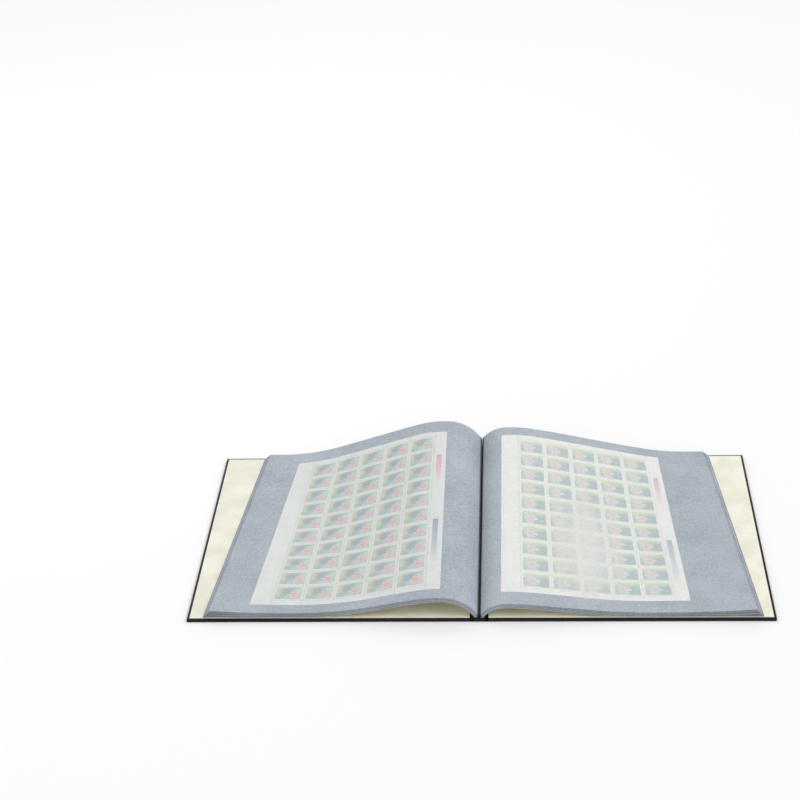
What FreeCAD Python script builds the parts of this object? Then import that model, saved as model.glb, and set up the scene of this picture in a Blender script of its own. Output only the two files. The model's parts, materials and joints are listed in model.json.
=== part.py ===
"""Stamp sheet album: a leatherette case binding that holds folded glassine leaves.

The album lies open at its middle on the outer faces of its two covers. X runs across the
opening, Y along the spine and Z up. The origin is on the resting plane, under the middle
of the spine. Sizes are in millimetres.
"""

import FreeCAD, Part
import math
import os

V = FreeCAD.Vector

# Case
COVER_HEIGHT = 321.0  # along the spine
COVER_EDGE_X = 295.6  # fore-edge of each cover, from the middle of the spine
SKIN = 0.4  # leatherette
COVER_BOARD = 2.4
SPINE_BOARD = 2.0
TURN_IN = 15.0  # leatherette folded over onto the inside of a board
LINING = 0.2  # pasted paper over board and turn-ins
LINING_INSET = 2.6  # black border left around each pastedown
HINGE_X = 7.3  # fold line of each joint, from the middle of the spine
HINGE_Z = 1.5  # height of the fold lines, near the middle of the boards' thickness
JOINT_HALF = 2.2  # half the width of the flexible joint between two boards
STRIP_GAP = 0.05  # left between a joint's strip and the skins, and between the lining and the leaves

# Leaves
LEAVES_PER_SIDE = 12  # folded glassine leaves; one flyleaf more lies under them
LEAF_HEIGHT = 315.0
LEAF_LENGTH = 283.6  # bound edge to fore-edge, along the paper
LEAF_PITCH = 0.4
PAPER = 0.1  # one thickness of glassine
POCKET_GAP = 0.1  # space between the two thicknesses of a folded leaf
FLYLEAF = 0.25
FIRST_LEAF_X = 0.2  # middle of the innermost leaf's bound edge
BOUND_Z = 3.05  # height of the bound edges
FLAT_TOP_Z = 8.45  # height of the innermost leaf where it lies flat

# Arch of each side's innermost leaf, at its tail edge (nearest to the reader) and its head edge:
# it stands up out of the gutter, bends over the crest, falls and lies flat. The book opens less
# far at the head, so the leaves stand higher there.
ARCHES = {
    "left": {
        "tail": {"stand": 1.0, "crest_z": 27.0, "leave_deg": 52.0, "crest_r": 44.0},
        "head": {"stand": 24.0, "crest_z": 52.0, "leave_deg": 49.0, "crest_r": 42.0},
    },
    "right": {
        "tail": {"stand": 1.0, "crest_z": 19.5, "leave_deg": 45.0, "crest_r": 34.0},
        "head": {"stand": 24.0, "crest_z": 43.5, "leave_deg": 45.0, "crest_r": 34.0},
    },
}
FALLS = {
    "left": {
        "tail": {"fall_deg": 11.0, "fall_r": 150.0, "land_r": 400.0},
        "head": {"fall_deg": 17.0, "fall_r": 120.0, "land_r": 240.0},
    },
    "right": {
        "tail": {"fall_deg": 6.0, "fall_r": 200.0, "land_r": 500.0},
        "head": {"fall_deg": 12.0, "fall_r": 150.0, "land_r": 300.0},
    },
}
GUTTER_R = 6.2  # bend from upright towards the page

# Stamp sheets, each inside the pocket of the leaf that lies on top. The leaf stands higher at its
# head, and that draws the sheet's outer edge in there.
SHEET_THICKNESS = 0.06
SHEET_HEIGHT = 280.0
SHEETS = {
    "left": {"inner_x": 39.0, "tail_outer_x": 233.0, "head_outer_x": 209.0, "centre_y": -3.5},
    "right": {"inner_x": 22.0, "tail_outer_x": 212.0, "head_outer_x": 198.0, "centre_y": 2.0},
}
ABOVE_ALL = 100.0  # top of the prism that cuts a sheet to its outline
SEW_TOLERANCE = 1e-4

# Gold foil on the front cover, pressed into the leatherette
FOIL = 0.1
FOIL_DEPTH = 0.15  # groove that holds the foil
STRIPE_FROM_SPINE = 0.272  # middle of the stripe, as a share of the closed cover's width
STRIPE_WIDTH = 4.6
EMBLEM_RADIUS = 14.5
EMBLEM_LINE = 0.9
EMBLEM_FROM_SPINE = 0.131  # share of the closed cover's width
EMBLEM_FROM_TAIL = 0.193  # share of the cover's height
PETALS = 6
PETAL_OFFSET = 5.4
PETAL_RADIUS = 3.1

SPINE_HALF = HINGE_X - JOINT_HALF
COVER_START = HINGE_X + JOINT_HALF
TURN_IN_Z = SKIN + COVER_BOARD
CLOSED_EDGE_X = HINGE_X - HINGE_Z  # back of the closed spine
CLOSED_WIDTH = COVER_EDGE_X - CLOSED_EDGE_X


def block(x0, x1, y0, y1, z0, z1):
    return Part.makeBox(x1 - x0, y1 - y0, z1 - z0, V(x0, y0, z0))


def mirrored(shape):
    return shape.mirror(V(0, 0, 0), V(1, 0, 0))


def board_cover():
    """Grey board of the right-hand cover."""
    half = COVER_HEIGHT / 2 - SKIN
    return block(COVER_START, COVER_EDGE_X - SKIN, -half, half, SKIN, TURN_IN_Z)


def skin_cover():
    """Leatherette of the right-hand cover: outer face, three edges and their turn-ins."""
    half = COVER_HEIGHT / 2
    outer = block(COVER_START, COVER_EDGE_X, -half, half, 0, TURN_IN_Z + SKIN)
    inside = block(COVER_START, COVER_EDGE_X - SKIN, -half + SKIN, half - SKIN, SKIN, TURN_IN_Z)
    window = block(
        COVER_START, COVER_EDGE_X - TURN_IN, -half + TURN_IN, half - TURN_IN, SKIN, TURN_IN_Z + SKIN
    )
    return outer.cut(inside).cut(window)


def pastedown():
    """Lining of the right-hand cover: it fills the window and laps over the turn-ins."""
    half = COVER_HEIGHT / 2
    middle = block(
        COVER_START, COVER_EDGE_X - TURN_IN, -half + TURN_IN, half - TURN_IN, TURN_IN_Z, TURN_IN_Z + SKIN
    )
    top = TURN_IN_Z + SKIN
    lap = block(
        COVER_START, COVER_EDGE_X - LINING_INSET, -half + LINING_INSET, half - LINING_INSET, top, top + LINING
    )
    return middle.fuse(lap).removeSplitter()


def skin_spine():
    half = COVER_HEIGHT / 2
    top = SKIN + SPINE_BOARD
    outer = block(-SPINE_HALF, SPINE_HALF, -half, half, 0, top + SKIN)
    inside = block(-SPINE_HALF, SPINE_HALF, -half + SKIN, half - SKIN, SKIN, top)
    window = block(-SPINE_HALF, SPINE_HALF, -half + TURN_IN, half - TURN_IN, SKIN, top + SKIN)
    return outer.cut(inside).cut(window)


def board_spine():
    half = COVER_HEIGHT / 2 - SKIN
    return block(-SPINE_HALF, SPINE_HALF, -half, half, SKIN, SKIN + SPINE_BOARD)


def lining_spine():
    """Strip that the bound edges are glued to, on the inside of the spine."""
    half = LEAF_HEIGHT / 2 - TURN_IN
    bottom = SKIN + SPINE_BOARD
    return block(-SPINE_HALF, SPINE_HALF, -half, half, bottom, BOUND_Z - STRIP_GAP)


def joint_strip():
    """Leatherette between the spine board and the right-hand board."""
    half = COVER_HEIGHT / 2
    return block(SPINE_HALF + STRIP_GAP, COVER_START - STRIP_GAP, -half, half, 0, SKIN)


class Run:
    """A path in the XZ plane made of tangent lines and arcs, kept at one offset.

    A positive offset lies on the path's right-hand side, which is towards the cover.
    """

    def __init__(self, offset):
        self.offset = offset
        self.x = FIRST_LEAF_X + offset
        self.z = BOUND_Z
        self.heading = math.pi / 2
        self.edges = []

    def start(self):
        return V(FIRST_LEAF_X + self.offset, 0, BOUND_Z)

    def point(self):
        return V(self.x, 0, self.z)

    def line(self, length):
        start = self.point()
        self.x += length * math.cos(self.heading)
        self.z += length * math.sin(self.heading)
        self.edges.append(Part.LineSegment(start, self.point()).toShape())

    def arc(self, radius, heading_deg):
        """Turn to a heading: radius is the path's own, and the offset changes it."""
        target = math.radians(heading_deg)
        side = 1 if target < self.heading else -1  # 1 turns right
        own = radius - side * self.offset
        start = self.point()
        cx = self.x + side * own * math.sin(self.heading)
        cz = self.z - side * own * math.cos(self.heading)
        points = []
        for angle in ((self.heading + target) / 2, target):
            points.append(V(cx - side * own * math.sin(angle), 0, cz + side * own * math.cos(angle)))
        self.edges.append(Part.Arc(start, points[0], points[1]).toShape())
        self.x, self.z, self.heading = points[1].x, points[1].z, target


def arch_steps(arch):
    """The path of a side's innermost leaf, as (kind, values) steps, without its last line."""
    leave, fall = math.radians(arch["leave_deg"]), math.radians(arch["fall_deg"])
    bend_up = GUTTER_R * math.cos(leave) + arch["crest_r"] * (1 - math.cos(leave))
    rise = (arch["crest_z"] - BOUND_Z - arch["stand"] - bend_up) / math.sin(leave)
    bend_down = (arch["fall_r"] + arch["land_r"]) * (1 - math.cos(fall))
    drop = (arch["crest_z"] - FLAT_TOP_Z - bend_down) / math.sin(fall)
    return [
        ("line", arch["stand"]),
        ("arc", GUTTER_R, arch["leave_deg"]),
        ("line", rise),
        ("arc", arch["crest_r"], 0.0),
        ("arc", arch["fall_r"], -arch["fall_deg"]),
        ("line", drop),
        ("arc", arch["land_r"], 0.0),
    ]


def arch_length(arch):
    """Length of the innermost leaf's path up to where it lies flat."""
    total, heading = 0.0, 90.0
    for step in arch_steps(arch):
        if step[0] == "line":
            total += step[1]
        else:
            total += step[1] * math.radians(abs(heading - step[2]))
            heading = step[2]
    return total


def full_run(arch, offset, leaf_offset, short=0.0):
    """Path of one face of a leaf: leaves nearer the cover turn less paper over, so lie further out."""
    run = Run(offset)
    for step in arch_steps(arch):
        getattr(run, step[0])(*step[1:])
    run.line(LEAF_LENGTH - arch_length(arch) + leaf_offset * math.pi / 2 - short)
    return run


def outline(arch, offset, half, hollow):
    """Closed outline of one leaf at one of its ends, as a list of edges in order.

    A folded leaf has a hollow, from the bound edge to the fold at the fore-edge.
    """
    top, bottom = full_run(arch, offset - half, offset), full_run(arch, offset + half, offset)
    edges = list(top.edges) + [segment(top.point(), bottom.point())] + bottom.edges[::-1]
    if hollow:
        under = full_run(arch, offset + hollow, offset, PAPER)
        over = full_run(arch, offset - hollow, offset, PAPER)
        edges += [segment(bottom.start(), under.start())] + list(under.edges)
        edges += [segment(under.point(), over.point())] + over.edges[::-1]
        edges += [segment(over.start(), top.start())]
    else:
        edges += [segment(bottom.start(), top.start())]
    return edges


def segment(a, b):
    return Part.LineSegment(a, b).toShape()


def moved(edges, y):
    placed = []
    for edge in edges:
        copy = edge.copy()
        copy.translate(V(0, y, 0))
        placed.append(copy)
    return placed


def ruled_solid(side, offset, half, hollow=0.0):
    """Leaf between its outlines at tail and head, with a ruled face from each edge to its match."""
    ends = []
    for end, y in (("tail", -LEAF_HEIGHT / 2), ("head", LEAF_HEIGHT / 2)):
        arch = {**ARCHES[side][end], **FALLS[side][end]}
        ends.append(moved(outline(arch, offset, half, hollow), y))
    faces = [Part.makeRuledSurface(tail, head) for tail, head in zip(*ends)]
    faces += [Part.Face(Part.Wire(Part.__sortEdges__(end))) for end in ends]
    shell = Part.makeShell(faces)
    shell.sewShape()
    solid = Part.makeSolid(shell)
    solid.fix(SEW_TOLERANCE, SEW_TOLERANCE, SEW_TOLERANCE)
    if solid.Volume < 0:
        solid.reverse()
    return solid


def pocket_leaf(side, offset):
    """Folded glassine leaf: two thicknesses that meet in the fold at the fore-edge."""
    return ruled_solid(side, offset, POCKET_GAP / 2 + PAPER, POCKET_GAP / 2)


def flyleaf(side, offset):
    return ruled_solid(side, offset, FLYLEAF / 2)


def stamp_sheet(side, inner_x, tail_outer_x, head_outer_x, centre_y):
    """Sheet of stamps in the top leaf's pocket, cut from the leaf's own middle surface."""
    tail, head = centre_y - SHEET_HEIGHT / 2, centre_y + SHEET_HEIGHT / 2
    corners = [V(inner_x, tail, 0), V(tail_outer_x, tail, 0), V(head_outer_x, head, 0), V(inner_x, head, 0)]
    prism = Part.Face(Part.makePolygon(corners + corners[:1])).extrude(V(0, 0, ABOVE_ALL))
    return ruled_solid(side, 0.0, SHEET_THICKNESS / 2).common(prism).Solids[0]


def stripe(depth, thickness):
    """Foil line over the full height of the front cover, at the left of the opening."""
    middle = -(CLOSED_EDGE_X + CLOSED_WIDTH * STRIPE_FROM_SPINE)
    half_x, half_y = STRIPE_WIDTH / 2, COVER_HEIGHT / 2 - SKIN
    return block(middle - half_x, middle + half_x, -half_y, half_y, depth, depth + thickness)


def emblem(depth, thickness):
    """Plain rosette: a ring around a flower of round petals."""
    cx = -(CLOSED_EDGE_X + CLOSED_WIDTH * EMBLEM_FROM_SPINE)
    cy = COVER_HEIGHT * (EMBLEM_FROM_TAIL - 0.5)
    centre = V(cx, cy, depth)
    ring = Part.makeCylinder(EMBLEM_RADIUS, thickness, centre)
    ring = ring.cut(Part.makeCylinder(EMBLEM_RADIUS - EMBLEM_LINE, thickness, centre))
    pieces = [ring, Part.makeCylinder(EMBLEM_LINE, thickness, centre)]
    for k in range(PETALS):
        turn = 2 * math.pi * k / PETALS
        at = centre + V(PETAL_OFFSET * math.cos(turn), PETAL_OFFSET * math.sin(turn), 0)
        petal = Part.makeCylinder(PETAL_RADIUS - EMBLEM_LINE / 2, thickness, at)
        pieces.append(petal.cut(Part.makeCylinder(PETAL_RADIUS - EMBLEM_LINE * 1.5, thickness, at)))
    return Part.makeCompound(pieces)


def front_skin():
    """Leatherette of the front cover, with the pressed grooves that hold the foil."""
    return mirrored(skin_cover()).cut(stripe(0, FOIL_DEPTH)).cut(emblem(0, FOIL_DEPTH))


def write(name, shape):
    shape.exportStep("parts/%s.step" % name)


def case_parts():
    return {
        "back_board": board_cover(),
        "back_skin": skin_cover(),
        "back_pastedown": pastedown(),
        "front_board": mirrored(board_cover()),
        "front_skin": front_skin(),
        "front_pastedown": mirrored(pastedown()),
        "spine_board": board_spine(),
        "spine_skin": skin_spine(),
        "spine_lining": lining_spine(),
        "back_joint_strip": joint_strip(),
        "front_joint_strip": mirrored(joint_strip()),
        "gold_stripe": stripe(FOIL_DEPTH - FOIL, FOIL),
        "gold_emblem": emblem(FOIL_DEPTH - FOIL, FOIL),
    }


def leaf_parts():
    """Leaves are numbered from the front cover: 1 to 12 lie on the left, 13 to 24 on the right."""
    parts = {}
    for side, cover in (("left", "front"), ("right", "back")):
        turn = mirrored if side == "left" else (lambda shape: shape)
        for j in range(LEAVES_PER_SIDE):
            number = LEAVES_PER_SIDE - j if side == "left" else LEAVES_PER_SIDE + 1 + j
            parts["leaf_%02d" % number] = turn(pocket_leaf(side, j * LEAF_PITCH))
        parts[cover + "_flyleaf"] = turn(flyleaf(side, LEAVES_PER_SIDE * LEAF_PITCH))
        parts["stamp_sheet_" + side] = turn(stamp_sheet(side, **SHEETS[side]))
    return parts


def main():
    os.makedirs("parts", exist_ok=True)
    for name, shape in {**case_parts(), **leaf_parts()}.items():
        write(name, shape)
        box = shape.BoundBox
        print(name, shape.isValid(), len(shape.Solids), round(shape.Volume, 1), box)


main()
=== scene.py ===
"""Looks of the stamp album: every leaf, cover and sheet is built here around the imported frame.

Sizes are in millimetres, and MM turns them into the frame's metres. X runs across the opening, Y from the
tail of the book to its head, and Z up. At rest the album lies open at its middle.
"""

import json
import math

import bmesh
import bpy
from mathutils import Matrix, Vector
import numpy as np


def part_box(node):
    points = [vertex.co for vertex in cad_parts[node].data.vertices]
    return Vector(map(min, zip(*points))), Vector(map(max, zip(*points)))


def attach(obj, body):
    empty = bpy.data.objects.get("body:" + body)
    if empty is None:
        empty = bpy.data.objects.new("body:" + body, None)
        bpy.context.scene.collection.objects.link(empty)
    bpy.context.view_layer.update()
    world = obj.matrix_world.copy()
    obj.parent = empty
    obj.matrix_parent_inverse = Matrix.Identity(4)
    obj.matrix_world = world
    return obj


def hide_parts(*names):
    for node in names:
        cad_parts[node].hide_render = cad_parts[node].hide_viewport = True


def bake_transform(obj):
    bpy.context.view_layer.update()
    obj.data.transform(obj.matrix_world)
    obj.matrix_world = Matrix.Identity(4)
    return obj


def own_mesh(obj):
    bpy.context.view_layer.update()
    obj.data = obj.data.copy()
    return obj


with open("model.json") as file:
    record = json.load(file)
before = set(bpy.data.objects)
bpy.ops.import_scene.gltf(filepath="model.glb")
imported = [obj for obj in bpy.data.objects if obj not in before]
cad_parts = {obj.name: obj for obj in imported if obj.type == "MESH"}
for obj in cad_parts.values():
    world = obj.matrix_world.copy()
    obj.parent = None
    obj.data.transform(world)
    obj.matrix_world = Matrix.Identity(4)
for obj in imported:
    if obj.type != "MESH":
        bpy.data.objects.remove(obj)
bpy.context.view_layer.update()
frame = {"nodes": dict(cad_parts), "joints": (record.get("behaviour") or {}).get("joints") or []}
nodes, joints = frame["nodes"], {j["name"]: j for j in frame["joints"]}
MM = 0.001

# ---------------------------------------------------------------- sizes


def mm_box(node):
    """Low and high corners of a CAD node."""
    low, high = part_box(node)
    return [tuple(v / MM for v in low), tuple(v / MM for v in high)]


def hinge_x(name):
    return joints[name]["pos_m"][0] / MM


# From the frame
LEAF_HEIGHT = mm_box("leaf_13")[1][1] - mm_box("leaf_13")[0][1]  # along the spine
BOUND_Z = mm_box("leaf_18")[0][2]  # height of the bound edges
FIRST_X = -hinge_x("leaf_12_hinge")  # innermost leaf's bound edge, from the middle of the spine
PITCH = hinge_x("leaf_19_hinge") - hinge_x("leaf_18_hinge")  # from one leaf to the next

# Leaves
LEAVES = 12  # on each side
FAN = 5  # leaves that page_turn lifts
LEAF_LENGTH = 283.6  # bound edge to fore-edge, along the paper
FLAT_TOP_Z = 8.45  # height of the innermost leaf where it lies flat
GUTTER_R = 6.2  # bend of a leaf out of the gutter

# Layers, as heights of their two faces from the middle of their leaf
FOLDED_LEAF = (-0.13, 0.13)
BACK_PAPER = (-0.15, -0.06)  # under a sheet of stamps
FRONT_PANEL = (0.13, 0.20)  # see-through, over a sheet of stamps
FLYLEAF = (-0.12, 0.12)
SHEET_THICKNESS = 0.06

# Each side's arch at its tail and its head: the innermost leaf stands up out of the gutter, leaves it at an
# angle, bends over a crest, falls at another angle and lands flat. Angles are in degrees.
ARCHES = {
    "left": (
        dict(stand=1.0, crest_z=27.0, leave=52.0, crest_r=44.0, fall=11.0, fall_r=150.0, land_r=400.0),
        dict(stand=24.0, crest_z=52.0, leave=49.0, crest_r=42.0, fall=17.0, fall_r=120.0, land_r=240.0),
    ),
    "right": (
        dict(stand=1.0, crest_z=19.5, leave=45.0, crest_r=34.0, fall=6.0, fall_r=200.0, land_r=500.0),
        dict(stand=24.0, crest_z=43.5, leave=45.0, crest_r=34.0, fall=12.0, fall_r=150.0, land_r=300.0),
    ),
}

# Slow waves of the paper, and its lift towards the fore-edge, which is strongest at the tail
CURL = dict(start=190.0, width=90.0, tail=2.6, all=1.0)
WAVE = dict(half=0.5, slant_x=31.0, slant_y=57.0, cross_y=43.0, phase=0.7, start=30.0, width=60.0)

# Fineness of the meshes
SAMPLES = (3, 5, 2, 12, 8, 10, 12, 14)  # points on each stretch of a leaf's path
MOUTH = SAMPLES[0] + SAMPLES[1]  # point where the gutter's bend ends
LEAF_ROWS = 25
SHEET_ROWS, SHEET_COLUMNS, SHEET_BASE_ROWS = 41, 48, 61
JOINT_ROWS, JOINT_COLUMNS = 9, 13
ON_END = 0.01  # points this near to a sheet's end are on it
ON_PLANE = 0.0001
PAPER_SHARP, SLAB_SHARP = math.radians(40), math.radians(50)  # steeper edges than these are shaded sharp

# Case
OUTER_Z = 0.06  # outer face of the leatherette, so that the foil on it stays above the table
COVER_ROUND, SPINE_ROUND, PASTEDOWN_ROUND = 0.9, 0.6, 0.18
BEVEL_SEGMENTS = 4
PASTEDOWN_THICKNESS = 0.5
JOINT_THICKNESS = 0.5
JOINT_SHORT = 0.25  # a joint's leatherette ends this far inside the covers' ends

# Foil
FOIL_Z = (0.01, OUTER_Z + 0.05)
STRIPE_LINE = 0.12  # half of the fine dark line between the stripe's two halves
STRIPE_SHADED_OLIVE = (1.0, 0.0)  # share of olive in its two halves: painted shade on the ridge's shaded side
EMBLEM_OLIVE = 0.15
EMBLEM_LINE = 0.9
EMBLEM_PETALS, PETAL_OFFSET, PETAL_R = 6, 5.4, 3.1
RIM_STEPS, PETAL_STEPS, DOT_STEPS = 64, 32, 23

# ---------------------------------------------------------------- leaf geometry


def end_path(arch, depth, leaf_depth):
    """Points (x, z) along one end of a leaf.

    A depth is a distance below the innermost leaf's middle, square to the paper: the path's own, and that of
    its leaf's middle, along which the paper is LEAF_LENGTH long.
    """
    leave, fall = math.radians(arch["leave"]), math.radians(arch["fall"])
    bend_up = GUTTER_R * math.cos(leave) + arch["crest_r"] * (1 - math.cos(leave))
    rise = (arch["crest_z"] - BOUND_Z - arch["stand"] - bend_up) / math.sin(leave)
    bend_down = (arch["fall_r"] + arch["land_r"]) * (1 - math.cos(fall))
    drop = (arch["crest_z"] - FLAT_TOP_Z - bend_down) / math.sin(fall)
    steps = [  # a line has a length; an arc has a radius and the heading that it ends with
        ("line", arch["stand"]), ("arc", GUTTER_R, leave), ("line", rise), ("arc", arch["crest_r"], 0.0),
        ("arc", arch["fall_r"], -fall), ("line", drop), ("arc", arch["land_r"], 0.0),
    ]
    used, heading = 0.0, math.pi / 2
    for step in steps:
        used += step[1] if step[0] == "line" else step[1] * abs(heading - step[2])
        heading = heading if step[0] == "line" else step[2]
    steps.append(("line", LEAF_LENGTH - used + leaf_depth * math.pi / 2))

    x, z, heading = FIRST_X + depth, BOUND_Z, math.pi / 2
    points = [(x, z)]
    for step, count in zip(steps, SAMPLES):
        parts = [k / count for k in range(1, count + 1)]
        if step[0] == "line":
            along = [step[1] * part for part in parts]
            points += [(x + d * math.cos(heading), z + d * math.sin(heading)) for d in along]
        else:
            side = 1 if step[2] < heading else -1
            radius = step[1] - side * depth
            cx, cz = x + side * radius * math.sin(heading), z - side * radius * math.cos(heading)
            angles = [heading + (step[2] - heading) * part for part in parts]
            points += [(cx - side * radius * math.sin(a), cz + side * radius * math.cos(a)) for a in angles]
            heading = step[2]
        x, z = points[-1]
    return np.array(points)


def undulation(x, y, depth):
    """Lift of the paper over x (from the spine) and y; depth is 1 for the top leaf and 0 for the cover."""
    out = np.clip((x - CURL["start"]) / CURL["width"], 0, 1)
    near = np.clip(0.5 - y / LEAF_HEIGHT, 0, 1)
    lift = CURL["tail"] * out**2 * near**1.5 + CURL["all"] * out**2
    slant = np.sin(x / WAVE["slant_x"] + y / WAVE["slant_y"])
    wave = WAVE["half"] * (slant * np.sin(y / WAVE["cross_y"] + WAVE["phase"]) + 1)
    return (lift + wave * np.clip((x - WAVE["start"]) / WAVE["width"], 0, 1)) * depth


def leaf_surface(side, j, lift=0.0, rows=LEAF_ROWS):
    """Grid of points (rows, columns, 3) at a height above the middle of a side's leaf j."""
    depth = j * PITCH
    tail, head = (end_path(arch, depth - lift, depth) for arch in ARCHES[side])
    share = np.linspace(0, 1, rows)[:, None]
    x = tail[:, 0] * (1 - share) + head[:, 0] * share
    z = tail[:, 1] * (1 - share) + head[:, 1] * share
    y = np.broadcast_to(-LEAF_HEIGHT / 2 + LEAF_HEIGHT * share, x.shape)
    z = z + undulation(x, y, 1 - j / (LEAVES + 1))
    sign = -1 if side == "left" else 1
    return np.stack([sign * x, y, z], 2)


def settle_normals(obj, sharp_from=None):
    """Turn every face outwards and, given an angle, shade smooth up to it."""
    bm = bmesh.new()
    bm.from_mesh(obj.data)
    bmesh.ops.recalc_face_normals(bm, faces=bm.faces)
    bm.to_mesh(obj.data)
    bm.free()
    for polygon in obj.data.polygons:
        polygon.use_smooth = sharp_from is not None
    if sharp_from is not None:
        obj.data.set_sharp_from_angle(angle=sharp_from)


def link_object(name, data):
    obj = bpy.data.objects.new(name, data)
    bpy.context.scene.collection.objects.link(obj)
    return obj


def thin_solid(name, top, bottom, uv=None):
    """Closed solid between two grids of points."""
    rows, columns = top.shape[:2]
    verts = np.concatenate([top.reshape(-1, 3), bottom.reshape(-1, 3)]) * MM
    under = rows * columns

    def at(r, c):
        return r * columns + c

    faces = []
    for r in range(rows - 1):
        for c in range(columns - 1):
            quad = (at(r, c), at(r, c + 1), at(r + 1, c + 1), at(r + 1, c))
            faces += [quad, tuple(under + k for k in quad[::-1])]
    rim = [at(0, c) for c in range(columns)] + [at(r, columns - 1) for r in range(1, rows)]
    rim += [at(rows - 1, c) for c in range(columns - 2, -1, -1)] + [at(r, 0) for r in range(rows - 2, 0, -1)]
    faces += [(b, a, under + a, under + b) for a, b in zip(rim, rim[1:] + rim[:1])]

    mesh = bpy.data.meshes.new(name)
    mesh.from_pydata([tuple(v) for v in verts], [], faces)
    if uv is not None:
        layer = mesh.uv_layers.new(name="paper")
        flat = np.concatenate([uv.reshape(-1, 2), uv.reshape(-1, 2)])
        index = np.array([loop.vertex_index for loop in mesh.loops])
        layer.data.foreach_set("uv", flat[index].astype(np.float32).ravel())
    obj = link_object(name, mesh)
    settle_normals(obj, PAPER_SHARP)
    return obj


# ---------------------------------------------------------------- node helpers


class Nodes:
    """Short calls for a material's node tree."""

    SHADER_INPUTS = {
        "color": "Base Color", "rough": "Roughness", "metal": "Metallic", "normal": "Normal",
        "specular": "Specular IOR Level", "coat": "Coat Weight", "coat_rough": "Coat Roughness",
        "sheen": "Sheen Weight", "sheen_rough": "Sheen Roughness",
    }

    def __init__(self, name):
        self.material = bpy.data.materials.new(name)
        self.material.use_nodes = True
        self.tree = self.material.node_tree
        self.tree.nodes.clear()

    def put(self, kind, **values):
        """Add a node: p_x sets its property x, i0, i1... inputs by number, and the rest inputs by name."""
        node = self.tree.nodes.new(kind)
        for key, value in values.items():
            if key.startswith("p_"):
                setattr(node, key[2:], value)
        for key, value in values.items():
            if not key.startswith("p_"):
                numbered = key[0] == "i" and key[1:].isdigit()
                self.link(value, node.inputs[int(key[1:]) if numbered else key])
        return node

    def link(self, value, socket):
        if isinstance(value, bpy.types.NodeSocket):
            self.tree.links.new(value, socket)
        else:
            socket.default_value = value

    def math(self, op, a, b=0.0):
        return self.put("ShaderNodeMath", p_operation=op, i0=a, i1=b).outputs[0]

    def add(self, a, b):
        return self.math("ADD", a, b)

    def minus(self, a, b):
        return self.math("SUBTRACT", a, b)

    def times(self, a, b):
        return self.math("MULTIPLY", a, b)

    def over(self, a, b):
        return self.math("DIVIDE", a, b)

    def below(self, a, b):
        return self.math("LESS_THAN", a, b)

    def above(self, a, b):
        return self.math("GREATER_THAN", a, b)

    def within(self, value, low, high):
        return self.times(self.above(value, low), self.below(value, high))

    def rest(self, share):
        """What is left of 1."""
        return self.minus(1.0, share)

    def length(self, a, b):
        return self.math("SQRT", self.add(self.times(a, a), self.times(b, b)))

    def centred(self, value):
        """A noise's value, moved from around 0.5 to around 0."""
        return self.minus(value, 0.5)

    def dashes(self, value, count):
        """1 and 0 by turns, a number of times for each unit of a value."""
        return self.above(self.math("SINE", self.times(value, 2 * math.pi * count)), 0.0)

    def mix(self, share, a, b):
        node = self.put("ShaderNodeMix", p_data_type="RGBA", i0=share)
        self.link(a, node.inputs[6])
        self.link(b, node.inputs[7])
        return node.outputs[2]

    def object_point(self):
        return self.put("ShaderNodeTexCoord").outputs["Object"]

    def sheet_point(self):
        """Place on a sheet of stamps, as shares u and v of its width and height."""
        return self.split(self.put("ShaderNodeUVMap", p_uv_map="paper").outputs[0])[:2]

    def split(self, vector):
        return self.put("ShaderNodeSeparateXYZ", i0=vector).outputs

    def stretched(self, vector, scale):
        return self.put("ShaderNodeMapping", i0=vector, i3=scale).outputs[0]

    def noise(self, vector, scale, detail, rough=0.55):
        node = self.put("ShaderNodeTexNoise", Vector=vector, Scale=scale, Detail=detail, Roughness=rough)
        return node.outputs[0]

    def ramp(self, value, low, high):
        """0 at low, 1 at high."""
        node = self.put("ShaderNodeMapRange", p_interpolation_type="SMOOTHSTEP", i0=value, i1=low, i2=high)
        return node.outputs[0]

    def bump(self, height, distance, strength):
        return self.put("ShaderNodeBump", Height=height, Distance=distance, Strength=strength).outputs[0]

    def principled(self, **values):
        node = self.put("ShaderNodeBsdfPrincipled")
        for key, value in values.items():
            self.link(value, node.inputs[self.SHADER_INPUTS[key]])
        return node.outputs[0]

    def finish(self, shader):
        self.put("ShaderNodeOutputMaterial", i0=shader)
        return self.material


def rgb(r, g, b):
    """Colour from display values of 0 to 255."""
    shares = (r / 255, g / 255, b / 255)
    return (*[v / 12.92 if v <= 0.04045 else ((v + 0.055) / 1.055) ** 2.4 for v in shares], 1.0)


# ---------------------------------------------------------------- case materials


def leatherette():
    """Black bonded leatherette: fine pebbled grain, a smooth glossy top and slightly worn edges."""
    n = Nodes("leatherette")
    at = n.object_point()
    to_edge = n.put("ShaderNodeTexVoronoi", Vector=at, Scale=1500.0, p_feature="DISTANCE_TO_EDGE").outputs[0]
    pebbles = n.ramp(to_edge, 0.0, 0.22)
    soft, broad = n.noise(at, 260.0, 6.0), n.noise(at, 9.0, 3.0)
    height = n.add(n.times(pebbles, 0.6), n.times(soft, 0.5))
    worn = n.times(n.ramp(n.put("ShaderNodeNewGeometry").outputs["Pointiness"], 0.53, 0.62), 0.35)
    black = n.mix(n.ramp(broad, 0.35, 0.7), rgb(9, 9, 11), rgb(14, 14, 18))
    rough = n.add(0.24, n.times(n.add(soft, broad), 0.10))
    return n.finish(n.principled(
        color=n.mix(worn, black, rgb(48, 48, 52)), rough=rough, normal=n.bump(height, 0.00006, 0.5),
        coat=0.10, coat_rough=0.16, specular=0.16))


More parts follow.
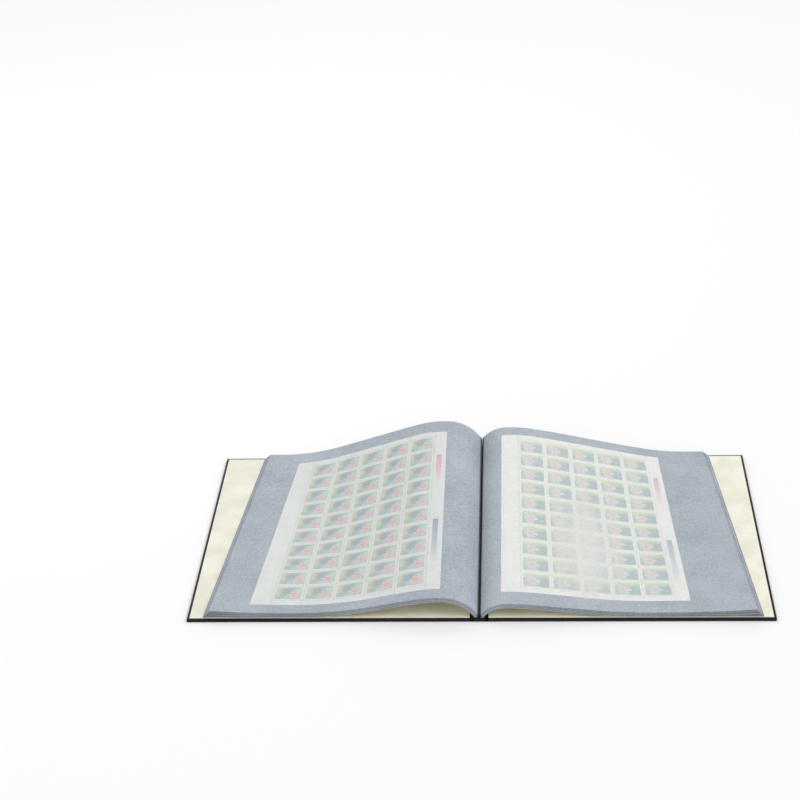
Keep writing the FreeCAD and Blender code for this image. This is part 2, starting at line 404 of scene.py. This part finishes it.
def gold_foil():
    """Hot-stamped foil: bright on one side of the stripe's ridge and olive on the other, where the olive
    paints the shade of the side turned from the light.
    """
    n = Nodes("gold_foil")
    at = n.object_point()
    fine, wide = n.noise(at, 700.0, 5.0), n.noise(at, 60.0, 3.0)
    olive = n.put("ShaderNodeAttribute", p_attribute_name="olive").outputs["Fac"]
    # painted shade: on the stripe, the olive stands for the ridge's side turned from the light
    color = n.mix(olive, rgb(236, 205, 92), rgb(150, 132, 48))
    color = n.mix(n.times(n.ramp(wide, 0.45, 0.7), 0.25), color, rgb(250, 236, 150))
    rough = n.add(0.24, n.times(fine, 0.18))
    return n.finish(n.principled(color=color, metal=0.85, rough=rough, normal=n.bump(fine, 0.00003, 0.4)))


def cream_paper():
    """Matt cream paper of the pastedowns and flyleaves."""
    n = Nodes("cream_paper")
    at = n.object_point()
    fine, wide = n.noise(at, 900.0, 4.0), n.noise(at, 40.0, 3.0)
    color = n.mix(n.ramp(wide, 0.35, 0.65), rgb(226, 224, 206), rgb(236, 234, 219))
    return n.finish(n.principled(color=color, rough=0.82, specular=0.25, normal=n.bump(fine, 0.00008, 0.5)))


def lining_cloth():
    """Pale lining with visible fibres, under the bound edges."""
    n = Nodes("lining")
    at = n.object_point()
    fine, wide = n.noise(at, 1200.0, 4.0), n.noise(at, 120.0, 4.0)
    color = n.mix(n.ramp(wide, 0.35, 0.65), rgb(196, 192, 180), rgb(214, 210, 198))
    return n.finish(n.principled(color=color, rough=0.9, normal=n.bump(fine, 0.0001, 0.6)))


# ---------------------------------------------------------------- glassine

GLASSINE_TONES = {  # each one's darker and lighter mottles; b and c are darker and lighter copies of a, painted shade and painted light along the stacked edges
    "a": ((144, 154, 166), (172, 181, 191)),
    "b": ((84, 93, 104), (116, 126, 138)),
    "c": ((176, 184, 191), (208, 213, 218)),
}
LEAF_TONE_AND_SHADE_PATTERN = "aaaaaabccbcb"  # glassine of each leaf, from the middle of the book outwards; the b leaves paint shade lines between the stacked edges and the c leaves paint light on them
# painted shade: a near-black tone that stands for the shade where the bound edges meet in the gutter
GUTTER_SHADE_TONE = (24, 28, 34)
GUTTER_SHADE_FADE = (1.0, 2.6)  # painted shade in the gutter: distances from the middle of the spine over which its dark tone ends

# See-through panels: haze over the sheet, how much more there is where the panel lifts off it, and its tones
PANELS = {
    "left": dict(haze=0.26, lifted=0.0, tones=((222, 225, 223), (230, 232, 230))),
    "right": dict(haze=0.30, lifted=0.26, tones=((236, 237, 234), (241, 242, 239))),
}
HAZE_SPREAD = 0.08  # how much the mottle varies the haze
BARE_HAZE = 0.06  # of a panel beyond the sheet
LIFT_MIDDLE, LIFT_HALF = (0.48, 0.30), (0.19, 0.36)  # of the lifted patch, as shares of the sheet
LIFT_EDGE = (0.3, 1.2)  # where the patch fades, as shares of its half-size


def glassine_grain(n):
    """The fine mottle of glassine, and the height of its surface."""
    at = n.object_point()
    mottle = n.noise(at, 400.0, 6.0, 0.7)
    fibres = n.noise(n.stretched(at, (220.0, 900.0, 220.0)), 1.0, 3.0)
    return mottle, n.add(mottle, n.times(fibres, 0.4))


def glassine(name, tones):
    """Blue-grey glassine, finely mottled, with shade painted dark into the gutter."""
    n = Nodes("glassine_" + name)
    mottle, height = glassine_grain(n)
    at = n.object_point()
    shade = n.add(n.times(mottle, 0.68), n.times(n.noise(at, 22.0, 3.0), 0.32))
    color = n.mix(n.ramp(shade, 0.37, 0.63), rgb(*tones[0]), rgb(*tones[1]))
    from_spine = n.math("ABSOLUTE", n.split(at)[0])
    # painted shade: the glassine's colour goes over to that near-black tone towards the middle of the spine
    clear_of_gutter_shade = n.ramp(from_spine, GUTTER_SHADE_FADE[0] * MM, GUTTER_SHADE_FADE[1] * MM)
    return n.finish(n.principled(
        color=n.mix(clear_of_gutter_shade, rgb(*GUTTER_SHADE_TONE), color), rough=n.add(0.44, n.times(mottle, 0.16)), specular=0.3,
        normal=n.bump(height, 0.00012, 0.35), sheen=0.06, sheen_rough=0.5))


def panel(side, haze, lifted, tones):
    """See-through glassine over a sheet of stamps, which it veils with a pale haze."""
    n = Nodes("glassine_panel_" + side)
    mottle, height = glassine_grain(n)
    u, v = n.sheet_point()
    on_sheet = n.times(n.within(u, 0.0, 1.0), n.within(v, 0.0, 1.0))
    share = n.add(haze - HAZE_SPREAD / 2, n.times(mottle, HAZE_SPREAD))
    share = n.add(BARE_HAZE, n.times(on_sheet, n.minus(share, BARE_HAZE)))
    if lifted:
        across = n.over(n.minus(u, LIFT_MIDDLE[0]), LIFT_HALF[0])
        up = n.over(n.minus(v, LIFT_MIDDLE[1]), LIFT_HALF[1])
        patch = n.rest(n.ramp(n.length(across, up), *LIFT_EDGE))
        share = n.add(share, n.times(patch, lifted))
    veil = n.principled(
        color=n.mix(n.ramp(mottle, 0.4, 0.6), rgb(*tones[0]), rgb(*tones[1])), rough=0.42, specular=0.25,
        normal=n.bump(height, 0.00010, 0.3))
    clear = n.put("ShaderNodeBsdfTransparent").outputs[0]
    return n.finish(n.put("ShaderNodeMixShader", i0=share, i1=clear, i2=veil).outputs[0])


# ---------------------------------------------------------------- sheets of stamps

COLUMNS, STAMP_ROWS = 5, 10
MARGIN_LEFT, MARGIN_RIGHT, MARGIN_END = 0.108, 0.078, 0.027  # as shares of the sheet's width and height
STAMP_WIDE, STAMP_HIGH = 31.0, 26.0
BORDER_X, BORDER_Y = 0.075, 0.1  # unprinted, as shares of a stamp
BORDER_SOFT_X, BORDER_SOFT_Y = 0.006, 0.008
HOLES_HIGH, HOLES_WIDE = 16.0, 19.2  # perforations along a stamp's side and along its end
HOLE_X, HOLE_Y = 0.016, 0.018  # half-width of the perforated lines, as shares of a stamp
OUTER_LINE, LINE_END = 0.05, 0.06  # how far past the stamps the outermost lines and the level lines' ends lie
HOLE_TONE, HOLE_STRENGTH = (140, 147, 154), 0.65
BAR_PLACE, BAR_HALF = 0.56, 0.0155  # bars: middle, as a share of the right margin, and half-width
BAR_FAINTEST = 0.1  # strength of a bar's colour at its lower end

# Looks of the two sheets. Paper: its two tones. A spot: middle, half-sizes, softness, unevenness, strength
# and colour, with places as shares of a stamp. Flower: middle, radius, and colours of its petals and heart.
# A bar: where it ends at its top and its bottom, as shares of the sheet's height, and its colour.
SHEETS = {
    "left": {
        "paper": ((230, 231, 229), (236, 237, 235)),
        "spots": [
            ((0.40, 0.62), (0.25, 0.26), 0.45, 0.8, 0.90, (88, 138, 158)),
            ((0.60, 0.84), (0.34, 0.08), 0.35, 0.8, 0.60, (110, 158, 158)),
            ((0.20, 0.26), (0.16, 0.16), 0.35, 0.8, 0.65, (104, 162, 166)),
            ((0.15, 0.60), (0.10, 0.28), 0.60, 2.2, 0.75, (214, 216, 130)),
            ((0.26, 0.84), (0.14, 0.09), 0.60, 1.4, 0.60, (230, 176, 168)),
            ((0.86, 0.68), (0.13, 0.28), 0.50, 1.4, 0.60, (184, 222, 188)),
        ],
        "flower": ((0.69, 0.40), 0.24, (240, 192, 198), (226, 148, 158)),
        "bars": [(0.84, 0.65, (238, 120, 158)), (0.42, 0.16, (66, 126, 172))],
    },
    "right": {
        "paper": ((238, 238, 235), (243, 243, 241)),
        "spots": [
            ((0.78, 0.36), (0.27, 0.40), 0.35, 0.6, 0.92, (104, 152, 166)),
            ((0.10, 0.34), (0.13, 0.30), 0.40, 0.8, 0.70, (112, 172, 164)),
            ((0.24, 0.86), (0.25, 0.13), 0.50, 1.3, 0.85, (214, 216, 140)),
            ((0.66, 0.82), (0.26, 0.10), 0.50, 1.3, 0.60, (204, 220, 162)),
            ((0.50, 0.68), (0.18, 0.10), 0.40, 0.8, 0.55, (148, 200, 164)),
            ((0.56, 0.44), (0.07, 0.08), 0.40, 0.4, 0.80, (240, 238, 240)),
        ],
        "flower": ((0.37, 0.45), 0.23, (238, 206, 216), (228, 164, 184)),
        "bars": [(0.84, 0.65, (216, 130, 176)), (0.4, 0.13, (92, 146, 184))],
    },
}


class StampArt:
    """The picture on every stamp: soft spots of colour and a flower on a mottled ground."""

    def __init__(self, n, x, y):
        self.n, self.x, self.y = n, x, y
        place = n.put("ShaderNodeCombineXYZ", i0=n.times(x, STAMP_WIDE), i1=n.times(y, STAMP_HIGH)).outputs[0]
        self.blots = n.noise(place, 0.55, 3.0)
        self.fine = n.noise(place, 1.6, 4.0)
        self.flecks = n.noise(place, 1.05, 5.0, 0.8)

    def away(self, middle, halves):
        """Distances from a middle, across and up, in half-sizes."""
        n = self.n
        return [n.over(n.minus(at, m), half) for at, m, half in zip((self.x, self.y), middle, halves)]

    def spot(self, middle, halves, soft, uneven):
        n = self.n
        far = n.add(n.length(*self.away(middle, halves)), n.times(n.centred(self.blots), uneven * 2))
        return n.rest(n.ramp(far, 1 - soft, 1 + soft))

    def petals(self, middle, radius, count):
        n = self.n
        across, up = self.away(middle, (1.0, STAMP_WIDE / STAMP_HIGH))
        far = n.add(n.length(across, up), n.times(n.centred(self.fine), 0.30))
        ripple = n.math("COSINE", n.times(n.math("ARCTAN2", up, across), float(count)))
        reach = n.times(n.add(0.74, n.times(ripple, 0.26)), radius)
        return n.rest(n.ramp(n.minus(far, reach), -0.04, 0.04))

    def paint(self, spots, flower):
        n = self.n
        art = n.mix(n.ramp(self.fine, 0.35, 0.65), rgb(172, 204, 192), rgb(194, 218, 206))
        art = n.mix(n.times(n.ramp(self.y, 0.8, 0.15), 0.5), art, rgb(152, 192, 190))
        for middle, halves, soft, uneven, strength, tone in spots:
            art = n.mix(n.times(self.spot(middle, halves, soft, uneven), strength), art, rgb(*tone))
        middle, radius, petal_tone, heart_tone = flower
        art = n.mix(n.times(self.petals(middle, radius, 6), 0.92), art, rgb(*petal_tone))
        art = n.mix(n.times(self.petals(middle, radius * 0.55, 5), 0.75), art, rgb(*heart_tone))
        art = n.mix(n.times(self.spot(middle, (0.035, 0.045), 0.4, 0.1), 0.8), art, rgb(214, 178, 110))
        art = n.mix(n.times(n.ramp(self.flecks, 0.52, 0.62), 0.42), art, rgb(226, 232, 214))
        return n.mix(n.times(n.ramp(self.flecks, 0.48, 0.38), 0.28), art, rgb(112, 156, 150))


def perforations(n, grid_x, grid_y, off_x, off_y):
    """Small holes along every line between stamps; those beside the columns run to the sheet's ends."""
    upright = n.times(n.below(n.minus(0.5, off_x), HOLE_X), n.dashes(grid_y, HOLES_HIGH))
    level = n.times(n.below(n.minus(0.5, off_y), HOLE_Y), n.dashes(grid_x, HOLES_WIDE))
    upright = n.times(upright, n.within(grid_x, -OUTER_LINE, COLUMNS + OUTER_LINE))
    level = n.times(level, n.within(grid_y, -OUTER_LINE, STAMP_ROWS + OUTER_LINE))
    level = n.times(level, n.within(grid_x, -LINE_END, COLUMNS + LINE_END))
    return n.math("MAXIMUM", upright, level)


def margin_bars(n, u, v, color, bars):
    """Colour bars in the right-hand margin, each fading towards the tail."""
    on_bar = n.below(n.math("ABSOLUTE", n.minus(u, 1 - MARGIN_RIGHT * BAR_PLACE)), BAR_HALF)
    for top, bottom, tone in bars:
        strength = n.put("ShaderNodeMapRange", i0=v, i1=bottom, i2=top, i3=BAR_FAINTEST).outputs[0]
        share = n.times(n.times(on_bar, n.within(v, bottom, top)), strength)
        color = n.mix(share, color, rgb(*tone))
    return color


def stamp_paper(side, paper, spots, flower, bars):
    """White gummed paper with perforations, bars in its margin and a picture on each stamp."""
    n = Nodes("stamp_sheet_" + side)
    u, v = n.sheet_point()
    grid_x = n.times(n.minus(u, MARGIN_LEFT), COLUMNS / (1 - MARGIN_LEFT - MARGIN_RIGHT))
    grid_y = n.times(n.minus(v, MARGIN_END), STAMP_ROWS / (1 - 2 * MARGIN_END))
    on_stamps = n.times(n.within(grid_x, 0.0, COLUMNS), n.within(grid_y, 0.0, STAMP_ROWS))
    x, y = n.math("FRACT", grid_x), n.math("FRACT", grid_y)
    off_x, off_y = n.math("ABSOLUTE", n.minus(x, 0.5)), n.math("ABSOLUTE", n.minus(y, 0.5))
    edge_x, edge_y = 0.5 - BORDER_X, 0.5 - BORDER_Y
    printed = n.times(n.rest(n.ramp(off_x, edge_x - BORDER_SOFT_X, edge_x + BORDER_SOFT_X)),
                      n.rest(n.ramp(off_y, edge_y - BORDER_SOFT_Y, edge_y + BORDER_SOFT_Y)))
    white = n.mix(n.ramp(n.noise(n.object_point(), 60.0, 3.0), 0.4, 0.6), rgb(*paper[0]), rgb(*paper[1]))
    color = n.mix(n.times(printed, on_stamps), white, StampArt(n, x, y).paint(spots, flower))
    holes = perforations(n, grid_x, grid_y, off_x, off_y)
    color = n.mix(n.times(holes, HOLE_STRENGTH), color, rgb(*HOLE_TONE))
    color = margin_bars(n, u, v, color, bars)
    height = n.minus(n.noise(n.object_point(), 700.0, 3.0), n.times(holes, 1.5))
    return n.finish(n.principled(color=color, rough=0.62, specular=0.3, normal=n.bump(height, 0.00005, 0.5)))


MAT = {
    "leatherette": leatherette(), "gold": gold_foil(), "cream": cream_paper(), "lining": lining_cloth(),
    **{"panel_" + side: panel(side, **look) for side, look in PANELS.items()},
    **{"sheet_" + side: stamp_paper(side, **look) for side, look in SHEETS.items()},
    **{"glassine_" + name: glassine(name, tones) for name, tones in GLASSINE_TONES.items()},
}


def dress(obj, material):
    obj.data.materials.clear()
    obj.data.materials.append(material)


# ---------------------------------------------------------------- leaves and sheets


def settle(piece, body, cad_node):
    """Ride on a body, stand for a CAD node and get a mesh of its own."""
    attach(piece, body)
    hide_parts(cad_node)
    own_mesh(piece)


def leaf_layer(name, side, j, faces, material, body, cad_node, first=0, last=None, uv=None):
    """One layer of a leaf between the heights of its two faces, from one column of points to another."""
    bottom, top = (leaf_surface(side, j, height)[:, first:last] for height in faces)
    piece = thin_solid(name, top, bottom, None if uv is None else uv[:, first:last])
    dress(piece, material)
    settle(piece, body, cad_node)


def sheet_outline(side):
    """A stamp sheet's left and right edges, at its tail and at its head, and its two ends."""
    points = np.array([v.co for v in nodes["stamp_sheet_" + side].data.vertices]) / MM
    ends = points[:, 1].min(), points[:, 1].max()
    rows = [points[np.abs(points[:, 1] - y) < ON_END, 0] for y in ends]
    return [(row.min(), row.max()) for row in rows], ends


def sheet_shares(x, y, outline):
    """Shares u and v of places on a sheet; u runs from its left edge and v from its tail."""
    (tail, head), (y0, y1) = outline
    v = (y - y0) / (y1 - y0)
    left, right = (tail[k] + (head[k] - tail[k]) * v for k in (0, 1))
    return np.stack([(x - left) / (right - left), v], -1)


def cut_sheet(side, outline, body):
    """A stamp sheet laid over the top leaf between its own four edges."""
    (tail, head), (y0, y1) = outline
    base = leaf_surface(side, 0, rows=SHEET_BASE_ROWS)
    base_y = base[:, 0, 1]
    low = np.zeros((SHEET_ROWS, SHEET_COLUMNS, 3))
    for r, v in enumerate(np.linspace(0, 1, SHEET_ROWS)):
        y = y0 + (y1 - y0) * v
        k = min(int(np.searchsorted(base_y, y)), len(base_y) - 1)
        share = (y - base_y[k - 1]) / (base_y[k] - base_y[k - 1])
        line = (base[k - 1] * (1 - share) + base[k] * share)[MOUTH:]
        line = line[np.argsort(line[:, 0])]
        left, right = (tail[e] + (head[e] - tail[e]) * v for e in (0, 1))
        x = np.linspace(left, right, SHEET_COLUMNS)
        low[r] = np.stack([x, np.full(SHEET_COLUMNS, y), np.interp(x, line[:, 0], line[:, 2])], 1)
    high = low + np.array((0.0, 0.0, SHEET_THICKNESS))
    piece = thin_solid("stamp_sheet_%s_paper" % side, high, low,
                       sheet_shares(low[..., 0], low[..., 1], outline))
    dress(piece, MAT["sheet_" + side])
    settle(piece, body, "stamp_sheet_" + side)


def make_leaf(side, j):
    """Leaf j of a side, from the middle of the book; the top one holds a sheet of stamps behind a panel."""
    node = "leaf_%02d" % (LEAVES - j if side == "left" else LEAVES + 1 + j)
    paper = MAT["glassine_" + LEAF_TONE_AND_SHADE_PATTERN[j]]
    first = 0
    if side == "right" and j < FAN:
        # The short strip inside the gutter stays with the leaves below when the page is lifted
        first = MOUTH
        below = "leaf_%02d" % (LEAVES + 1 + FAN)
        leaf_layer(node + "_guard", side, j, FOLDED_LEAF, paper, below, node, last=MOUTH + 1)
    if j:
        leaf_layer(node + "_paper", side, j, FOLDED_LEAF, paper, node, node, first)
        return
    outline = sheet_outline(side)
    grid = leaf_surface(side, j)
    leaf_layer(node + "_back", side, j, BACK_PAPER, paper, node, node, first)
    leaf_layer(node + "_front", side, j, FRONT_PANEL, MAT["panel_" + side], node, node, first,
               uv=sheet_shares(grid[..., 0], grid[..., 1], outline))
    cut_sheet(side, outline, node)


def make_leaves():
    for side, cover in (("left", "front"), ("right", "back")):
        for j in range(LEAVES):
            make_leaf(side, j)
        node = cover + "_flyleaf"
        leaf_layer(node + "_paper", side, LEAVES, FLYLEAF, MAT["cream"], node, node)


# ---------------------------------------------------------------- case


def rounded_slab(name, low, high, radius, square_x, material):
    """Slab with rounded edges, apart from those on the planes x = square_x."""
    bm = bmesh.new()
    bmesh.ops.create_cube(bm, size=1.0)
    for vert in bm.verts:
        vert.co = Vector([low[k] if vert.co[k] < 0 else high[k] for k in range(3)]) * MM

    def on_square_plane(edge):
        return any(all(abs(v.co.x - x * MM) < ON_PLANE * MM for v in edge.verts) for x in square_x)

    soft = [edge for edge in bm.edges if not on_square_plane(edge)]
    bmesh.ops.bevel(bm, geom=soft, offset=radius * MM, segments=BEVEL_SEGMENTS, profile=0.5, affect="EDGES")
    mesh = bpy.data.meshes.new(name)
    bm.to_mesh(mesh)
    bm.free()
    obj = link_object(name, mesh)
    settle_normals(obj, SLAB_SHARP)
    dress(obj, material)
    return obj


def make_cover(cover, joint_side):
    """A cover's leatherette and pastedown; joint_side is the corner (0 low, 1 high) that the joint is at."""
    box = mm_box(cover + "_skin")
    joint_x = box[joint_side][0]
    low, high = (*box[0][:2], OUTER_Z), box[1]
    slab = rounded_slab(cover + "_cover_leatherette", low, high, COVER_ROUND, [joint_x], MAT["leatherette"])
    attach(slab, cover + "_cover")
    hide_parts(cover + "_skin", cover + "_board")
    low, high = mm_box(cover + "_pastedown")
    low = (*low[:2], high[2] - PASTEDOWN_THICKNESS)
    paste = rounded_slab(cover + "_pastedown_sheet", low, high, PASTEDOWN_ROUND, [joint_x], MAT["cream"])
    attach(paste, cover + "_cover")
    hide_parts(cover + "_pastedown")


def make_spine():
    """The spine's leatherette, and the look of the lining inside it."""
    low, high = mm_box("spine_skin")
    spine = rounded_slab("spine_leatherette", (*low[:2], OUTER_Z), high, SPINE_ROUND, [low[0], high[0]],
                         MAT["leatherette"])
    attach(spine, "spine")
    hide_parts("spine_skin", "spine_board")
    nodes["spine_lining"].data.materials.clear()
    nodes["spine_lining"].data.materials.append(MAT["lining"])


def make_joint(cover, sign):
    """Leatherette between the spine and a cover, on a grid fine enough to turn a smooth corner."""
    inner, outer = mm_box("spine_skin")[1][0], mm_box("back_skin")[0][0]
    half = mm_box("back_skin")[1][1] - JOINT_SHORT
    xs, ys = np.linspace(inner, outer, JOINT_COLUMNS), np.linspace(-half, half, JOINT_ROWS)
    bottom = np.zeros((JOINT_ROWS, JOINT_COLUMNS, 3))
    bottom[..., 0], bottom[..., 1], bottom[..., 2] = sign * xs[None, :], ys[:, None], OUTER_Z
    top = bottom + np.array((0.0, 0.0, JOINT_THICKNESS))
    piece = thin_solid(cover + "_joint_leatherette", top, bottom)
    dress(piece, MAT["leatherette"])
    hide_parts(cover + "_joint_strip")
    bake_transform(piece)


def make_case():
    make_cover("front", 1)
    make_cover("back", 0)
    make_spine()
    make_joint("front", -1)
    make_joint("back", 1)


# ---------------------------------------------------------------- foil


def on_circle(cx, cy, radius, turn):
    return cx + radius * math.cos(turn), cy + radius * math.sin(turn)


class Foil:
    """Hot-stamped foil on the front cover, gathered into one mesh; each face has its share of olive, which on
    the stripe is painted shade.
    """

    def __init__(self):
        self.verts, self.faces, self.olive = [], [], []

    def prism(self, outline, olive):
        """A flat piece with an outline of (x, y) points."""
        start, count = len(self.verts), len(outline)
        self.verts += [(x, y, z) for z in FOIL_Z for x, y in outline]
        self.faces += [[start + k for k in range(count)][::-1], [start + count + k for k in range(count)]]
        for k in range(count):
            after = (k + 1) % count
            self.faces.append([start + k, start + after, start + count + after, start + count + k])
        self.olive += [olive] * (count + 2)

    def ring(self, cx, cy, radius, steps):
        """A ring with a line's width, inside a radius."""
        start = len(self.verts)
        for k in range(steps):
            turn = 2 * math.pi * k / steps
            for r in (radius - EMBLEM_LINE, radius):
                self.verts += [(*on_circle(cx, cy, r, turn), z) for z in FOIL_Z]
        for k in range(steps):
            a, b = start + 4 * k, start + 4 * ((k + 1) % steps)
            self.faces += [[a + p, b + p, b + q, a + q] for p, q in ((0, 1), (1, 3), (3, 2), (2, 0))]
            self.olive += [EMBLEM_OLIVE] * 4

    def piece(self, name, cad_node):
        mesh = bpy.data.meshes.new(name)
        mesh.from_pydata([tuple(Vector(v) * MM) for v in self.verts], [], self.faces)
        mesh.attributes.new("olive", "FLOAT", "FACE").data.foreach_set("value", self.olive)
        obj = link_object(name, mesh)
        dress(obj, MAT["gold"])
        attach(obj, "front_cover")
        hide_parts(cad_node)
        settle_normals(obj)


def make_stripe():
    """Two halves of a stripe, one bright and one painted olive as the shaded side of its ridge, with a fine
    line between them.
    """
    (x0, y0, _), (x1, y1, _) = mm_box("gold_stripe")
    middle = x0 + (x1 - x0) / 2
    halves = (x0, middle - STRIPE_LINE), (middle + STRIPE_LINE, x1)
    foil = Foil()
    for (left, right), olive in zip(halves, STRIPE_SHADED_OLIVE):
        foil.prism([(left, y0), (right, y0), (right, y1), (left, y1)], olive)
    foil.piece("gold_stripe_foil", "gold_stripe")


def make_emblem():
    """Plain rosette: a rim, six round petals and a dot."""
    (x0, y0, _), (x1, y1, _) = mm_box("gold_emblem")
    cx, cy = (x0 + x1) / 2, (y0 + y1) / 2
    foil = Foil()
    foil.ring(cx, cy, (x1 - x0) / 2, RIM_STEPS)
    for k in range(EMBLEM_PETALS):
        turn = 2 * math.pi * k / EMBLEM_PETALS
        foil.ring(*on_circle(cx, cy, PETAL_OFFSET, turn), PETAL_R, PETAL_STEPS)
    turns = [2 * math.pi * k / DOT_STEPS for k in range(DOT_STEPS)]
    foil.prism([on_circle(cx, cy, EMBLEM_LINE, turn) for turn in turns], EMBLEM_OLIVE)
    foil.piece("gold_emblem_foil", "gold_emblem")


# ---------------------------------------------------------------- stage, light and camera

FLOOR_HALF = 6.0  # metres
WORLD_STRENGTH = 0.74
SUN = dict(toward=(0.75, -0.25, 1.0), strength=1.2, spread=40.0)
SHEEN = dict(place=(-0.7, 1.0, 1.3), size=(1.2, 0.8), power=3.0, color=(0.92, 0.95, 1.0))  # metres and watts
CAMERA = dict(elevation=28.68, azimuth=4.02, roll=-2.46, distance=2325.0, lens=85.905, target=(-102.4, 303.4))
SENSOR = 36.0


def make_floor():
    mesh = bpy.data.meshes.new("floor")
    corners = [(x * FLOOR_HALF, y * FLOOR_HALF, 0) for x, y in ((-1, -1), (1, -1), (1, 1), (-1, 1))]
    mesh.from_pydata(corners, [], [(0, 1, 2, 3)])
    n = Nodes("floor")
    mesh.materials.append(n.finish(n.principled(color=(0.9, 0.9, 0.9, 1.0), rough=0.9, specular=0.1)))
    link_object("floor", mesh)


def make_lights():
    """A white room, a soft sun from the right and a faint panel behind that gives the covers a sheen."""
    world = bpy.data.worlds.new("studio")
    world.use_nodes = True
    background = world.node_tree.nodes["Background"]
    background.inputs[0].default_value = (1.0, 1.0, 1.0, 1.0)
    background.inputs[1].default_value = WORLD_STRENGTH
    bpy.context.scene.world = world
    bpy.context.scene.view_settings.view_transform = "Standard"

    data = bpy.data.lights.new("key", "SUN")
    data.energy, data.angle = SUN["strength"], math.radians(SUN["spread"])
    sun = link_object("key", data)
    sun.rotation_euler = (-Vector(SUN["toward"])).to_track_quat("-Z", "Y").to_euler()

    data = bpy.data.lights.new("sheen", "AREA")
    data.shape, data.size, data.size_y = "RECTANGLE", *SHEEN["size"]
    data.energy, data.color = SHEEN["power"], SHEEN["color"]
    sheen = link_object("sheen", data)
    sheen.location = SHEEN["place"]
    sheen.rotation_euler = (-Vector(SHEEN["place"])).to_track_quat("-Z", "Y").to_euler()


def make_camera():
    elevation, azimuth, roll = (math.radians(CAMERA[k]) for k in ("elevation", "azimuth", "roll"))
    level = math.cos(elevation)
    away = Vector((math.sin(azimuth) * level, -math.cos(azimuth) * level, math.sin(elevation)))
    data = bpy.data.cameras.new("camera")
    data.sensor_width, data.lens = SENSOR, CAMERA["lens"]
    camera = link_object("camera", data)
    place = Vector((*CAMERA["target"], 0)) * MM + away * CAMERA["distance"] * MM
    look = (-away).to_track_quat("-Z", "Y").to_matrix().to_4x4()
    camera.matrix_world = Matrix.Translation(place) @ look @ Matrix.Rotation(roll, 4, "Z")
    bpy.context.scene.camera = camera


make_leaves()
make_case()
make_stripe()
make_emblem()
make_floor()
make_lights()
make_camera()
